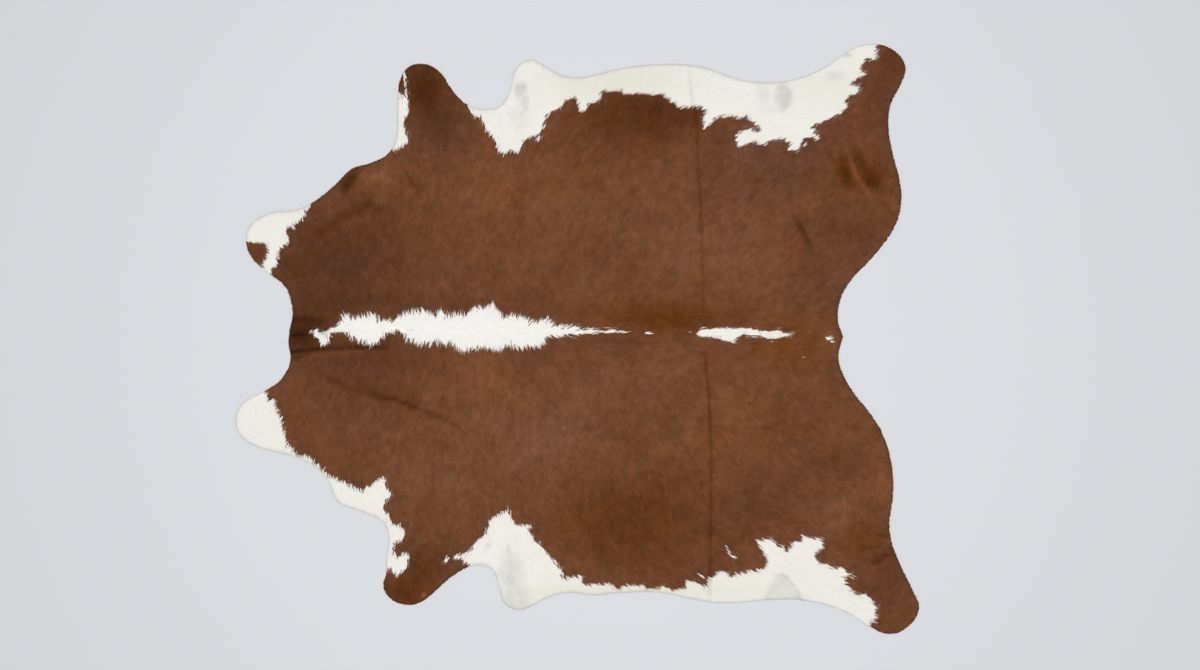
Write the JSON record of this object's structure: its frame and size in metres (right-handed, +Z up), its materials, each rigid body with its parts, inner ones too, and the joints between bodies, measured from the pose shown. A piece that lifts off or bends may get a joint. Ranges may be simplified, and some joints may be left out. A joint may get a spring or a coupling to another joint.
{
  "type": "cowhide rug",
  "caption": "Whole hair-on cowhide laid flat, brown with ragged white belly edges and a white mark along the spine, in the outline of the skin with neck, legs and rump.",
  "frame": {"origin": "middle of the hide's box, on the surface it lies on", "axes": "+X along the spine from the neck to the tail, +Z up out of the hair side"},
  "size_m": [2.204, 1.902, 0.007],
  "materials": {
    "cowhair": "short glossy cowhair lying flat on leather, chestnut brown with warm white marks, cream suede on the flesh side"
  },
  "bodies": {
    "root": {"hide": "cowhair"}
  },
  "joints": []
}
